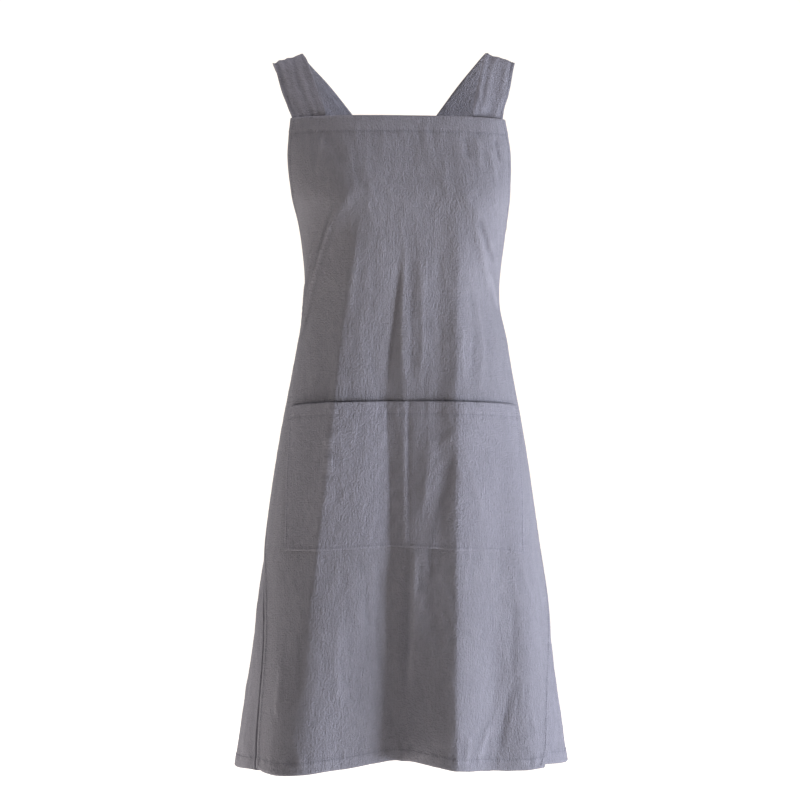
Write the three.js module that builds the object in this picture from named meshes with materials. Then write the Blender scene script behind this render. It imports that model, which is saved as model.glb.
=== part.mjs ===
// A cross back apron as it is worn: a bib and skirt cut in one front panel, a left and a right panel
// that wrap round the sides to an open back, a patch pocket sewn down its middle into two, and two
// wide straps that run over the shoulders and cross behind. Left and right are as seen from the front.
// Millimetres, +Z up, the front faces -Y. The origin is midway between the two shoulder tops.

import * as THREE from 'three';

// Lengths down the middle of the front, from the shoulder tops
const apron_length = 1003;
const bib_drop = 101;
const armhole_drop = 284;
const back_drop = 322;
const pocket_drop = 498;

// The worn form, across and through
const hem_half_width = 242;
const hem_front_depth = 138;
const hem_back_depth = 150;
const lean = 11;
const side_drop = 18;

// Cloth, hems and seams
const cloth = 1.4;
const hem_turn_up = 15;
const hem_edge = 2;
const bib_hem = 22;
const fold_depth = 30;
const fold_drop = 0.22;
const seam_lap = 14;
const vent_lap = 52;
const vent_drop = 720;
const right_vent_turn = 4;
const left_hem_shift = 3;
const right_hem_shift = -5;
const back_opening = 84;
const sewn_gap = 0.5;

// Pocket
const pocket_width = 358;
const pocket_height = 202;
const pocket_draw = 0.035;
const pocket_ease = 12;
const pocket_bottom = pocket_drop + pocket_height;

// Straps
const strap_width = 48;
const strap_cloth = 1.8;
const strap_tuck = 21;
const strap_spread = 132;
const cross_gap = 3;

// Grid steps of the walls
const step = 12;
const crown_share = 0.04;

// Sections of the worn apron. down: share of the length. half, front and back: shares of the hem's
// half width and depths. square: how far the oval is squared. seam: where the front panel ends, in
// degrees round from the middle of the front. lean: share of the sideways lean.
const sections = [
  { down: 0.101, half: 0.684, front: 0.800, back: 0.56, square: 0.035, seam: 61, lean: 1.0 },
  { down: 0.150, half: 0.690, front: 0.880, back: 0.59, square: 0.035, seam: 65, lean: 0.85 },
  { down: 0.205, half: 0.662, front: 0.945, back: 0.61, square: 0.030, seam: 72, lean: 0.4 },
  { down: 0.240, half: 0.616, front: 0.940, back: 0.62, square: 0.030, seam: 82, lean: 0.15 },
  { down: 0.280, half: 0.591, front: 0.915, back: 0.62, square: 0.030, seam: 90, lean: 0 },
  { down: 0.350, half: 0.577, front: 0.860, back: 0.62, square: 0.020, seam: 91, lean: 0 },
  { down: 0.420, half: 0.624, front: 0.840, back: 0.67, square: 0.020, seam: 91, lean: 0 },
  { down: 0.560, half: 0.736, front: 0.870, back: 0.81, square: 0.020, seam: 90, lean: 0 },
  { down: 0.700, half: 0.826, front: 0.920, back: 0.90, square: 0.020, seam: 86, lean: 0 },
  { down: 0.850, half: 0.914, front: 0.960, back: 0.96, square: 0.020, seam: 70, lean: 0 },
  { down: 1.000, half: 1.008, front: 1.000, back: 1.00, square: 0.020, seam: 57, lean: 0.05 },
];

// Folds of the front. from and to: shares of the length. at, lift and wide: the fold's place across,
// its height out of the cloth and its width, at its start, middle and end, as shares of the hem's half
// width and of the fold depth. crest: 2 is a soft fold, near 1 a creased one.
const front_folds = [
  { from: 0.22, to: 1.0, at: [-0.28, -0.44, -0.45], lift: [0.12, 0.30, 0.60], wide: [0.14, 0.20], crest: 1.6 },
  { from: 0.22, to: 1.0, at: [-0.01, -0.13, -0.15], lift: [-0.12, -0.36, -1.0], wide: [0.08, 0.17], crest: 1.8 },
  { from: 0.27, to: 0.95, at: [0.01, 0.03, 0.0], lift: [0.08, 0.18, 0.05], wide: [0.05, 0.06], crest: 1.5 },
  { from: 0.22, to: 1.0, at: [0.13, 0.18, 0.12], lift: [-0.10, -0.28, -0.10], wide: [0.06, 0.10], crest: 2 },
  { from: 0.20, to: 1.0, at: [0.24, 0.27, 0.28], lift: [0.12, 0.36, 0.75], wide: [0.07, 0.16], crest: 1.3 },
  { from: 0.50, to: 1.0, at: [0.50, 0.54, 0.56], lift: [-0.05, -0.15, -0.30], wide: [0.10, 0.12], crest: 2 },
  { from: 0.55, to: 1.0, at: [0.62, 0.68, 0.72], lift: [0.05, 0.10, 0.18], wide: [0.08, 0.10], crest: 2 },
  { from: 0.55, to: 1.0, at: [-0.66, -0.70, -0.72], lift: [0.05, 0.10, 0.18], wide: [0.08, 0.10], crest: 2 },
  { from: 0.19, to: 0.38, at: [-0.28, -0.46, -0.56], lift: [0.08, 0.14, 0.05], wide: [0.05, 0.05], crest: 1.6 },
  { from: 0.19, to: 0.37, at: [0.28, 0.45, 0.54], lift: [0.08, 0.12, 0.05], wide: [0.05, 0.05], crest: 1.6 },
];

// Folds of the sides and back. turn: the place in degrees round from the middle of the front, at the
// start and the hem. wide: degrees. lift: shares of the fold depth, at the start, middle and hem.
const back_folds = [
  { from: 0.45, turn: [-104, -103], lift: [0, -0.12, -0.35], wide: 8 },
  { from: 0.40, turn: [-118, -118], lift: [0, 0.18, 0.50], wide: 9 },
  { from: 0.45, turn: [-134, -135], lift: [0, -0.18, -0.55], wide: 9 },
  { from: 0.36, turn: [-150, -152], lift: [0, 0.15, 0.45], wide: 10 },
  { from: 0.50, turn: [106, 104], lift: [0, -0.15, -0.40], wide: 8 },
  { from: 0.40, turn: [121, 120], lift: [0, 0.20, 0.55], wide: 9 },
  { from: 0.42, turn: [137, 138], lift: [0, -0.16, -0.50], wide: 10 },
  { from: 0.36, turn: [152, 155], lift: [0, 0.14, 0.40], wide: 10 },
];

// The bust under the bib: two low mounds, as shares of the hem's half width, length and fold depth.
const mounds = [
  { at: -0.33, down: 0.200, wide: 0.26, tall: 0.060, lift: 0.34 },
  { at: 0.33, down: 0.200, wide: 0.26, tall: 0.060, lift: 0.34 },
];

const degrees = (angle) => THREE.MathUtils.degToRad(angle);
const ease = (low, high, value) => THREE.MathUtils.smoothstep(value, low, high);
const mix = THREE.MathUtils.lerp;
const share = (length) => length / apron_length;

// A table's column at a place between its rows, as a smooth curve through them.
function tableAt(rows, column, down) {
  const last = rows.length - 1;
  const place = THREE.MathUtils.clamp(down, rows[0].down, rows[last].down);
  const i = Math.min(rows.findLastIndex((row) => row.down <= place), last - 1);
  const span = (k) => rows[k + 1].down - rows[k].down;
  const slope = (k) => (rows[k + 1][column] - rows[k][column]) / span(k);
  const tangent = (k) => (k === 0 ? slope(0) : k === last ? slope(last - 1) : (slope(k - 1) + slope(k)) / 2);
  const t = (place - rows[i].down) / span(i);
  const bend = (1 - t) * tangent(i) - t * tangent(i + 1);
  const ramp = (1 - 2 * t) * slope(i);
  return mix(rows[i][column], rows[i + 1][column], t) + t * (1 - t) * span(i) * (bend - ramp);
}

// Three values along a fold, as one parabola.
function along([first, middle, end], t) {
  return first * (1 - t) * (1 - 2 * t) + middle * 4 * t * (1 - t) + end * t * (2 * t - 1);
}

// A point of the plain oval section and its outward direction.
function oval(turn, down) {
  const angle = degrees(turn);
  const half = tableAt(sections, 'half', down) * hem_half_width;
  const front = tableAt(sections, 'front', down) * hem_front_depth;
  const back = tableAt(sections, 'back', down) * hem_back_depth;
  const square = tableAt(sections, 'square', down);
  const deep = (Math.cos(angle) > 0 ? front : back) / (1 - square);
  const wide = half / (1 - square);
  const x = wide * (Math.sin(angle) + square * Math.sin(3 * angle));
  const y = -deep * (Math.cos(angle) - square * Math.cos(3 * angle));
  const dx = wide * (Math.cos(angle) + 3 * square * Math.cos(3 * angle));
  const dy = deep * (Math.sin(angle) - 3 * square * Math.sin(3 * angle));
  const speed = Math.hypot(dx, dy);
  return { x, y, outX: dy / speed, outY: -dx / speed, speed };
}

// How far the folds and the bust push the cloth out of the plain oval.
function foldLift(turn, down, x) {
  let lift = 0;
  const facing = 1 - ease(72, 92, Math.abs(turn));
  for (const fold of front_folds) {
    const t = (down - fold.from) / (fold.to - fold.from);
    if (t <= 0 || (t >= 1 && fold.to < 1)) continue;
    const ends = ease(0, 0.15, t) * (fold.to < 1 ? 1 - ease(0.8, 1, t) : 1);
    const away = (x / hem_half_width - along(fold.at, t)) / mix(...fold.wide, t);
    lift += facing * ends * along(fold.lift, t) * Math.exp(-(Math.abs(away) ** fold.crest));
  }
  for (const fold of back_folds) {
    const t = (down - fold.from) / (1 - fold.from);
    if (t <= 0) continue;
    const away = (turn - mix(...fold.turn, t)) / fold.wide;
    lift += along(fold.lift, t) * Math.exp(-(away ** 2));
  }
  for (const mound of mounds) {
    const across = (x / hem_half_width - mound.at) / mound.wide;
    const up = (down - mound.down) / mound.tall;
    lift += facing * mound.lift * Math.exp(-(across ** 2) - up ** 2);
  }
  return lift * fold_depth;
}

// A point of the apron's outer face: turn in degrees from the middle of the front, down as a share.
function face(turn, down) {
  const at = oval(turn, down);
  const out = foldLift(turn, down, at.x);
  const sag = side_drop * ease(0.35, 0.85, down) * Math.sin(degrees(turn)) ** 2;
  const drop = down * apron_length + sag + fold_drop * out * ease(0.5, 1, down);
  const aside = -lean * tableAt(sections, 'lean', down);
  return new THREE.Vector3(at.x + out * at.outX + aside, at.y + out * at.outY, -drop);
}

// The same point moved off the face along its outward normal.
function place(turn, down, offset) {
  const [turn_step, down_step] = [0.5, 0.002];
  const point = face(turn, down);
  const round = face(turn + turn_step, down).sub(face(turn - turn_step, down));
  const fall = face(turn, down + down_step).sub(face(turn, down - down_step));
  return point.addScaledVector(fall.cross(round).normalize(), offset);
}

// The turn at which the plain oval is a given length of cloth away from the middle of the front.
function turnAt(length, down) {
  let turn = 0;
  for (let gone = 0; gone < length && turn < 180; turn += 0.5) {
    gone += oval(turn + 0.25, down).speed * degrees(0.5);
  }
  return turn;
}

// The length of cloth from the middle of the front to a turn.
function clothTo(turn, down) {
  let gone = 0;
  for (let at = 0.5; at < turn; at += 1) gone += oval(at, down).speed * degrees(1);
  return gone;
}

// Evenly spaced values between the marks, each stretch cut into steps of about the given size.
function stations(marks, size) {
  const found = [marks[0]];
  marks.slice(1).forEach((mark, i) => {
    const count = Math.max(1, Math.round((mark - marks[i]) / size));
    for (let k = 1; k <= count; k++) found.push(mix(marks[i], mark, k / count));
  });
  return found;
}

// A closed wall between two grids of points, each a list of rows from the top down.
function wall(name, material, outer, inner) {
  const rows = outer.length;
  const columns = outer[0].length;
  const index = [];
  const quad = (a, b, c, d) => index.push(a, b, c, a, c, d);
  const out = (row, column) => row * columns + column;
  const back = (row, column) => rows * columns + out(row, column);
  for (let r = 0; r < rows - 1; r++) {
    for (let c = 0; c < columns - 1; c++) {
      quad(out(r, c), out(r + 1, c), out(r + 1, c + 1), out(r, c + 1));
      quad(back(r, c), back(r, c + 1), back(r + 1, c + 1), back(r + 1, c));
    }
    quad(out(r, 0), back(r, 0), back(r + 1, 0), out(r + 1, 0));
    quad(out(r, columns - 1), out(r + 1, columns - 1), back(r + 1, columns - 1), back(r, columns - 1));
  }
  for (let c = 0; c < columns - 1; c++) {
    quad(out(0, c), out(0, c + 1), back(0, c + 1), back(0, c));
    quad(out(rows - 1, c), back(rows - 1, c), back(rows - 1, c + 1), out(rows - 1, c + 1));
  }
  const geometry = new THREE.BufferGeometry().setFromPoints([...outer.flat(), ...inner.flat()]);
  geometry.setIndex(index);
  geometry.computeVertexNormals();
  const mesh = new THREE.Mesh(geometry, material);
  mesh.name = name;
  return mesh;
}

// Columns of the front panel: its edges, the pocket's sides and the middle seam are among them.
const side_columns = 4;
const pocket_columns = 13;

// Where the front panel ends on one side, in degrees: side is -1 for the left and 1 for the right.
function seamTurn(side, down) {
  const pull = side > 0 ? right_vent_turn * ease(share(vent_drop), 1, down) : 0;
  return tableAt(sections, 'seam', down) - pull;
}

function frontTurns(down) {
  const drawn = 1 - pocket_draw * ease(share(pocket_drop), share(pocket_bottom), down);
  const half = (side) => {
    const seam = seamTurn(side, down);
    const pocket = Math.min(turnAt(drawn * pocket_width / 2, down), 0.86 * seam);
    const turns = [];
    for (let k = 1; k <= pocket_columns; k++) turns.push(side * pocket * (k / pocket_columns));
    for (let k = 1; k <= side_columns; k++) turns.push(side * mix(pocket, seam, k / side_columns));
    return turns;
  };
  return [...half(-1).reverse(), 0, ...half(1)];
}

function frontPanel(material) {
  const marks = [
    bib_drop, bib_drop + bib_hem, bib_drop + bib_hem + hem_edge, pocket_drop, pocket_bottom,
    apron_length - hem_turn_up - hem_edge, apron_length - hem_turn_up, apron_length,
  ];
  const rows = stations(marks, 2.4 * step);
  const turnedIn = (drop) => drop <= bib_drop + bib_hem || drop >= apron_length - hem_turn_up;
  const layer = (offset) => rows.map((drop) => (
    frontTurns(share(drop)).map((turn) => place(turn, share(drop), offset(drop)))
  ));
  const outer = layer(() => 0);
  const inner = layer((drop) => (turnedIn(drop) ? -2 * cloth : -cloth));
  return wall('front_panel', material, outer, inner);
}

// How far the back panels run in under the front panel: a lapped seam, then a vent with a wider lap.
function lapAt(down) {
  return mix(seam_lap, vent_lap, ease(share(vent_drop) - 0.08, 1, down));
}

const panel_offset = -2 * cloth - sewn_gap;

function backPanel(name, material, side, hem_shift) {
  const columns = 22;
  const top = (t) => mix(armhole_drop, back_drop, ease(0.15, 0.9, t));
  const rows = stations([0, share(bib_hem), share(bib_hem + hem_edge), 1], 0.055);
  const hem_rows = [1 - share(hem_turn_up + hem_edge), 1 - share(hem_turn_up)];
  rows.splice(-1, 0, ...hem_rows);
  const turnedIn = (v) => v <= share(bib_hem) || v >= hem_rows[1];
  const layer = (offset) => rows.map((v) => {
    const line = [];
    for (let c = 0; c <= columns; c++) {
      const t = c / columns;
      const down = share(mix(top(t), apron_length + hem_shift, v));
      const half_round = clothTo(180, down);
      const first = turnAt(clothTo(seamTurn(side, down), down) - lapAt(down), down);
      const last = turnAt(half_round - back_opening / 2, down);
      line.push(place(side * mix(first, last, t), down, offset(v)));
    }
    return side > 0 ? line : line.reverse();
  });
  const outer = layer(() => panel_offset);
  const inner = layer((v) => panel_offset - (turnedIn(v) ? 2 * cloth : cloth));
  return wall(name, material, outer, inner);
}

// The pocket lies on the front panel along its sides, bottom and middle seam, and stands off between.
function pocket(material) {
  const rows = stations([pocket_drop, pocket_bottom], 2.4 * step);
  const reach = (drop) => ease(0, 0.3, (pocket_bottom - drop) / pocket_height);
  const swell = (column) => {
    const within = Math.abs(column) / pocket_columns;
    return Math.sin(Math.PI * within) ** 0.55;
  };
  const layer = (offset) => rows.map((drop) => {
    const turns = frontTurns(share(drop)).slice(side_columns, -side_columns);
    return turns.map((turn, i) => {
      const puff = pocket_ease * reach(drop) * swell(i - pocket_columns);
      return place(turn, share(drop), sewn_gap + puff + offset);
    });
  });
  return wall('pocket', material, layer(cloth), layer(0));
}

// The free run of a strap's two edges over the shoulder. across: share of the strap spread, from the
// middle. through: share of the hem's back depth, behind the shoulder tops. bib and back: how far
// down, as shares of the bib's and the back's drop. cross: 1 where the straps pass over each other.
const inner_run = [
  { across: 0.886, through: -0.360, bib: 0.515, back: 0, cross: 0 },
  { across: 0.962, through: -0.147, bib: 0.119, back: 0, cross: 0 },
  { across: 1.000, through: 0.013, bib: 0, back: 0, cross: 0 },
  { across: 0.939, through: 0.193, bib: 0, back: 0.025, cross: 0 },
  { across: 0.705, through: 0.387, bib: 0, back: 0.124, cross: 0 },
  { across: 0.379, through: 0.533, bib: 0, back: 0.289, cross: 1 },
  { across: 0.000, through: 0.580, bib: 0, back: 0.481, cross: 1 },
  { across: -0.530, through: 0.593, bib: 0, back: 0.745, cross: 1 },
];
const outer_run = [
  { across: 1.152, through: -0.360, bib: 0.851, back: 0, cross: 0 },
  { across: 1.227, through: -0.227, bib: 0.564, back: 0, cross: 0 },
  { across: 1.288, through: -0.093, bib: 0.238, back: 0, cross: 0 },
  { across: 1.318, through: 0.053, bib: 0.119, back: 0, cross: 0 },
  { across: 1.258, through: 0.233, bib: 0, back: 0.081, cross: 0 },
  { across: 0.987, through: 0.420, bib: 0, back: 0.218, cross: 0 },
  { across: 0.661, through: 0.547, bib: 0, back: 0.382, cross: 1 },
  { across: 0.283, through: 0.580, bib: 0, back: 0.575, cross: 1 },
  { across: -0.248, through: 0.593, bib: 0, back: 0.839, cross: 1 },
];

// Where a strap goes in behind the far back panel. turn: degrees round. back: share of the back's drop.
const inner_end = [{ turn: 129, back: 0.888 }, { turn: 125, back: 0.929 }, { turn: 121, back: 0.966 }];
const outer_end = [{ turn: 152, back: 0.988 }, { turn: 147, back: 1.028 }, { turn: 143, back: 1.065 }];

// A strap, as its two long edges: tucked behind the bib, over the shoulder, across the back, and
// tucked in behind the far back panel. The over strap passes outside the other where they cross.
function strap(name, material, side, over) {
  const bib = share(bib_drop);
  const seam = tableAt(sections, 'seam', bib);
  const inside = turnAt(clothTo(seam, bib) - strap_width, bib);
  const behind_bib = -2 * cloth - sewn_gap;
  const behind_back = panel_offset - 2 * cloth - sewn_gap;
  const tucked = (turn, drop) => place(side * turn, share(drop), behind_bib);
  const run = (row) => {
    const through = row.through * hem_back_depth;
    const aside = lean * (1 - 0.5 * ease(0.15, 0.55, row.through));
    const apart = row.cross * (over ? cross_gap : -cross_gap);
    const drop = row.bib * bib_drop + row.back * back_drop;
    return new THREE.Vector3(side * row.across * strap_spread - aside, through + apart, -drop);
  };
  const end = (row) => place(-side * row.turn, share(row.back * back_drop), behind_back);

  const near_bib = [bib_drop + strap_tuck, bib_drop + strap_tuck / 2, bib_drop];
  const inner_edge = [
    ...near_bib.map((drop) => tucked(inside, drop)),
    tucked(inside, bib_drop - strap_width / 6),
    ...inner_run.map(run),
    ...inner_end.map(end),
  ];
  const outer_edge = [
    ...near_bib.map((drop) => tucked(seam, drop)),
    ...outer_run.map(run),
    ...outer_end.map(end),
  ];

  const per_station = 3;
  const across = 4;
  const count = per_station * (inner_edge.length - 1);
  const near = new THREE.CatmullRomCurve3(inner_edge, false, 'centripetal').getPoints(count);
  const far = new THREE.CatmullRomCurve3(outer_edge, false, 'centripetal').getPoints(count);
  const normal = near.map((point, i) => {
    const next = near[Math.min(i + 1, count)];
    const last = near[Math.max(i - 1, 0)];
    const run = next.clone().sub(last);
    return run.cross(far[i].clone().sub(point)).multiplyScalar(-side).normalize();
  });
  const layer = (depth) => near.map((point, i) => {
    const line = [];
    for (let k = 0; k <= across; k++) {
      const w = k / across;
      const crown = crown_share * strap_width * 4 * w * (1 - w) * ease(9, 14, i) * (1 - ease(count - 14, count - 9, i));
      line.push(point.clone().lerp(far[i], w).addScaledVector(normal[i], crown + depth));
    }
    return side > 0 ? line.reverse() : line;
  });
  return wall(name, material, layer(0), layer(-strap_cloth));
}

const linen = (name, color) => {
  const material = new THREE.MeshStandardMaterial({ color, roughness: 0.92, metalness: 0 });
  material.name = name;
  return material;
};

const apron = new THREE.Group();
apron.add(
  frontPanel(linen('front linen', 0x75747d)),
  backPanel('back_panel_left', linen('left panel linen', 0x74737c), -1, left_hem_shift),
  backPanel('back_panel_right', linen('right panel linen', 0x74737c), 1, right_hem_shift),
  pocket(linen('pocket linen', 0x76757e)),
  strap('strap_left', linen('left strap linen', 0x72717a), -1, false),
  strap('strap_right', linen('right strap linen', 0x72717a), 1, true),
);

export default apron;
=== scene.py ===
# %% [markdown]
# A cross back apron in washed linen
#
# The real apron is cut from one cloth, a plain weave of linen and cotton, and washed so that it is soft and
# full of small creases. It is shown as it is worn: a square bib and a flared skirt in one panel, two panels
# that wrap round to an open back, a wide pocket sewn down its middle, and two broad straps that cross behind.
#
# There are two ways to make worn cloth: drop a flat pattern on a solid form and let a simulation fold it, or
# build the worn form from sections and lay the folds on one by one. A simulation gives lively folds, but
# never the ones in the photo. Here each panel is a fine grid of points on one shared form, so every fold is
# where it should be.

import math

import bpy
import numpy as np
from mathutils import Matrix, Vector


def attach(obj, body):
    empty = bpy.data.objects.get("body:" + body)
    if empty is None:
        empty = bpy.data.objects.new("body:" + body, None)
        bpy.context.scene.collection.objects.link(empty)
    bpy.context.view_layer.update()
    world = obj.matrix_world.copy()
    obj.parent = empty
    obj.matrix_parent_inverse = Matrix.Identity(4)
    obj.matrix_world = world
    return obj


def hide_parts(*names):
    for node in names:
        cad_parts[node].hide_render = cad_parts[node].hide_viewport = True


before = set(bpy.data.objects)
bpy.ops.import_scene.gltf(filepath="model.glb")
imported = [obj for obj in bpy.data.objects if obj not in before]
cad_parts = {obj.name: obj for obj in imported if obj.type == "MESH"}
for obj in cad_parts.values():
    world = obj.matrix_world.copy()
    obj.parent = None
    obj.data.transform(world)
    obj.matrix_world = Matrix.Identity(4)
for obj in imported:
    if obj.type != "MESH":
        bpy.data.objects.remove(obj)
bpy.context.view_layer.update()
MM = 0.001
print("frame nodes:", sorted(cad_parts))

# %% [markdown]
# The worn form
#
# A worn apron is close to a stack of ovals: narrow at the waist, wide at the hem, deepest at the
# bust. Each row of the table is one oval, with its place down the apron and its size as shares of the hem's.
# A smooth curve runs through the rows, so the surface has no rings. These are the same sizes as the solids
# in the frame have, so what is built here sits where they are.

# %% Sizes of the apron in millimetres
APRON_LENGTH = 1003
BIB_DROP = 101
ARMHOLE_DROP = 284
BACK_DROP = 322
POCKET_DROP = 498
HEM_HALF_WIDTH = 242
HEM_FRONT_DEPTH = 138
HEM_BACK_DEPTH = 150
LEAN = 11
SIDE_DROP = 18
FOLD_DEPTH = 30
FOLD_DROP = 0.22
HEM_TURN_UP = 15
BIB_HEM = 22
SEAM_LAP = 14
VENT_LAP = 52
VENT_DROP = 720
RIGHT_VENT_TURN = 4
BACK_OPENING = 84
LAYER_GAP = 3.3
POCKET_WIDTH = 358
POCKET_HEIGHT = 202
POCKET_DRAW = 0.035
POCKET_BOTTOM = POCKET_DROP + POCKET_HEIGHT
STRAP_WIDTH = 48
STRAP_SPREAD = 132
STRAP_TUCK = 21
CROSS_GAP = 3

# %% The section table
# down: share of the length. half, front, back: shares of the hem's half width and depths. square: how far
# the oval is squared. seam: where the front panel ends, in degrees round. lean: share of the lean.
SECTION_COLUMNS = ("down", "half", "front", "back", "square", "seam", "lean")
SECTIONS = np.array(
    [
        (0.101, 0.684, 0.800, 0.56, 0.035, 61, 1.00),
        (0.150, 0.690, 0.880, 0.59, 0.035, 65, 0.85),
        (0.205, 0.662, 0.945, 0.61, 0.030, 72, 0.40),
        (0.240, 0.616, 0.940, 0.62, 0.030, 82, 0.15),
        (0.280, 0.591, 0.915, 0.62, 0.030, 90, 0.00),
        (0.350, 0.577, 0.860, 0.62, 0.020, 91, 0.00),
        (0.420, 0.624, 0.840, 0.67, 0.020, 91, 0.00),
        (0.560, 0.736, 0.870, 0.81, 0.020, 90, 0.00),
        (0.700, 0.826, 0.920, 0.90, 0.020, 86, 0.00),
        (0.850, 0.914, 0.960, 0.96, 0.020, 70, 0.00),
        (1.000, 1.008, 1.000, 1.00, 0.020, 57, 0.05),
    ]
)


def ease(low, high, value):
    """0 below low, 1 above high, and a soft step between."""
    t = np.clip((value - low) / (high - low), 0, 1)
    return t * t * (3 - 2 * t)


def mix(a, b, t):
    return a + (b - a) * t


def bump(away, wide):
    """A soft bell: 1 at the middle and nearly 0 two widths away."""
    return np.exp(-((away / wide) ** 2))


def smooth_through(xs, ys, at):
    """A smooth curve through the rows of a table."""
    slope = np.diff(ys) / np.diff(xs)
    tangent = np.concatenate([slope[:1], (slope[:-1] + slope[1:]) / 2, slope[-1:]])
    at = np.clip(at, xs[0], xs[-1])
    i = np.clip(np.searchsorted(xs, at, side="right") - 1, 0, len(xs) - 2)
    span = xs[i + 1] - xs[i]
    t = (at - xs[i]) / span
    bend = (1 - t) * tangent[i] - t * tangent[i + 1]
    return mix(ys[i], ys[i + 1], t) + t * (1 - t) * span * (bend - (1 - 2 * t) * slope[i])


def section(column, down):
    """A column of the section table at a share of the length."""
    return smooth_through(SECTIONS[:, 0], SECTIONS[:, SECTION_COLUMNS.index(column)], down)


def oval(turn, down):
    """A point of the plain section, its outward direction, and the cloth's length per radian there."""
    angle = np.radians(turn)
    square = section("square", down)
    wide = section("half", down) * HEM_HALF_WIDTH / (1 - square)
    front = section("front", down) * HEM_FRONT_DEPTH
    back = section("back", down) * HEM_BACK_DEPTH
    deep = np.where(np.cos(angle) > 0, front, back) / (1 - square)
    x = wide * (np.sin(angle) + square * np.sin(3 * angle))
    y = -deep * (np.cos(angle) - square * np.cos(3 * angle))
    dx = wide * (np.cos(angle) + 3 * square * np.cos(3 * angle))
    dy = deep * (np.sin(angle) - 3 * square * np.sin(3 * angle))
    speed = np.hypot(dx, dy)
    return x, y, dy / speed, -dx / speed, speed


print("waist half width, mm:", round(float(section("half", 0.35)) * HEM_HALF_WIDTH, 1))

# %% [markdown]
# The folds
#
# A flared skirt is cut wider than its waist, and the spare width falls in folds that start at the bust or the
# waist and grow towards the hem. Each row of the tables is one fold: where it starts and ends, its place
# across, how far it stands out (or in) and how wide it is. A crest near 1 gives the pressed, sharp edge that
# linen keeps, and 2 a soft wave.

# %% Fold tables
# from, to: shares of the length. at and lift: evenly spaced from start to end. left and right: how wide each
# side is at the start and the end. Across and width are shares of the hem's half width, the lift is a share
# of the fold depth. The last pair is the crest, above the pocket's bottom and at the hem.
FRONT_FOLDS = [
    (
        0.22, 1.0, (-0.26, -0.331, -0.389, -0.448, -0.515, -0.568, -0.60),
        (0.25, 0.46, 0.60, 0.64, 0.74, 1.02, 1.24), (0.11, 0.22), (0.17, 0.195), (1.0, 2.0),
    ),
    (
        0.22, 1.0, (-0.02, -0.062, -0.122, -0.106, -0.096, -0.074, -0.058),
        (-0.06, -0.17, -0.30, -0.46, -0.70, -1.04, -1.34), (0.08, 0.16), (0.08, 0.15), (1.3, 1.8),
    ),
    (0.27, 0.95, (-0.02, -0.025, 0.0), (0.05, 0.05, 0.03), (0.045, 0.035), (0.045, 0.035), (1.5, 1.5)),
    (0.22, 1.0, (0.175, 0.185, 0.19), (-0.08, -0.07, 0.02), (0.05, 0.07), (0.06, 0.07), (1.6, 1.6)),
    (
        0.17, 1.0, (0.285, 0.275, 0.268, 0.265, 0.262, 0.258, 0.255),
        (0.0, 0.33, 0.43, 0.46, 0.60, 0.74, 0.86), (0.09, 0.16), (0.26, 0.20), (1.2, 1.4),
    ),
    (0.50, 1.0, (0.50, 0.54, 0.46), (-0.05, -0.15, -0.30), (0.10, 0.12), (0.10, 0.12), (2, 2)),
    (0.55, 1.0, (0.62, 0.68, 0.72), (0.05, 0.10, 0.18), (0.08, 0.10), (0.08, 0.10), (2, 2)),
    (0.55, 1.0, (-0.66, -0.70, -0.72), (0.05, 0.10, 0.24), (0.08, 0.10), (0.08, 0.10), (2, 2)),
    (0.19, 0.38, (-0.28, -0.46, -0.56), (0.08, 0.14, 0.05), (0.05, 0.05), (0.05, 0.05), (1.6, 1.6)),
    (0.19, 0.37, (0.28, 0.45, 0.54), (0.08, 0.12, 0.05), (0.05, 0.05), (0.05, 0.05), (1.6, 1.6)),
]

# from: share of the length. turn: degrees round at the start and the hem. lift: start, middle, end.
BACK_FOLDS = [
    (0.45, (-104, -103), (0, -0.12, -0.35), 8),
    (0.40, (-118, -118), (0, 0.18, 0.50), 9),
    (0.45, (-134, -135), (0, -0.18, -0.55), 9),
    (0.36, (-150, -152), (0, 0.15, 0.45), 10),
    (0.50, (106, 104), (0, -0.15, -0.40), 8),
    (0.40, (121, 120), (0, 0.20, 0.55), 9),
    (0.42, (137, 138), (0, -0.16, -0.50), 10),
    (0.36, (152, 155), (0, 0.14, 0.40), 10),
]

# The bust under the bib: across, down, width, height and lift.
MOUNDS = [(-0.34, 0.190, 0.22, 0.085, 0.32), (0.46, 0.205, 0.21, 0.095, 0.44)]

# The straps pull the bib's corners forward, so its sides stay flatter than the oval, and the right side is
# drawn in a little from the armhole to the waist. Both are in millimetres.
CORNER_PULL = 9
RIGHT_TUCK = 4


def along(values, t):
    """Evenly spaced values along a fold, as one smooth curve."""
    return smooth_through(np.linspace(0, 1, len(values)), np.array(values, float), t)


def fold_lift(turn, down, x):
    """How far the folds and the bust push the cloth out of the plain oval, in millimetres."""
    lift = np.zeros(np.broadcast(turn, down).shape)
    facing = 1 - ease(72, 92, np.abs(turn))
    for start, stop, at, height, left, right, crest in FRONT_FOLDS:
        t = (down - start) / (stop - start)
        live = (t > 0) & ((t < 1) | (stop >= 1))
        fade = ease(0, 0.15, t) * ((1 - ease(0.8, 1, t)) if stop < 1 else 1)
        away = x / HEM_HALF_WIDTH - along(at, t)
        wide = np.where(away < 0, mix(left[0], left[1], t), mix(right[0], right[1], t))
        away = np.abs(away) / np.maximum(wide, 0.01)
        sharp = mix(crest[0], crest[1], ease(0.68, 0.88, down))
        lift += np.where(live, facing * fade * along(height, t) * np.exp(-(away**sharp)), 0)
    for start, turns, height, wide in BACK_FOLDS:
        t = (down - start) / (1 - start)
        away = turn - mix(turns[0], turns[1], t)
        lift += np.where(t > 0, along(height, t) * bump(away, wide), 0)
    for at, depth, wide, tall, height in MOUNDS:
        lift += facing * height * bump(x / HEM_HALF_WIDTH - at, wide) * bump(down - depth, tall)
    return lift * FOLD_DEPTH


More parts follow.
